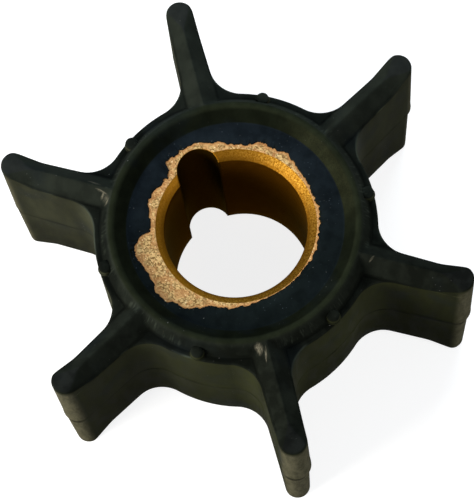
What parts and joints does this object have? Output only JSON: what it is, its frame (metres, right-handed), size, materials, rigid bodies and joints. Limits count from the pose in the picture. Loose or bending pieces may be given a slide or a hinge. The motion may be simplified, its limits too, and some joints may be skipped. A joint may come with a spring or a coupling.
{
  "type": "rubber pump impeller",
  "caption": "Flexible rubber impeller with straight radial vanes, moulded round a keyed bronze bush, for a raw-water cooling pump.",
  "frame": {"origin": "on the bore's axis, in the plane of the lower pads that the impeller lies on", "axes": "+Z along the bore's axis towards the upper face, +X out along one vane, +Y to complete the right hand"},
  "size_m": [0.051, 0.0448, 0.023],
  "materials": {
    "rubber": "moulded, dull black with a faint sheen",
    "bronze": "sintered and reamed, golden brown"
  },
  "bodies": {
    "root": {"rubber_impeller": "rubber", "bronze_bush": "bronze"}
  },
  "joints": []
}
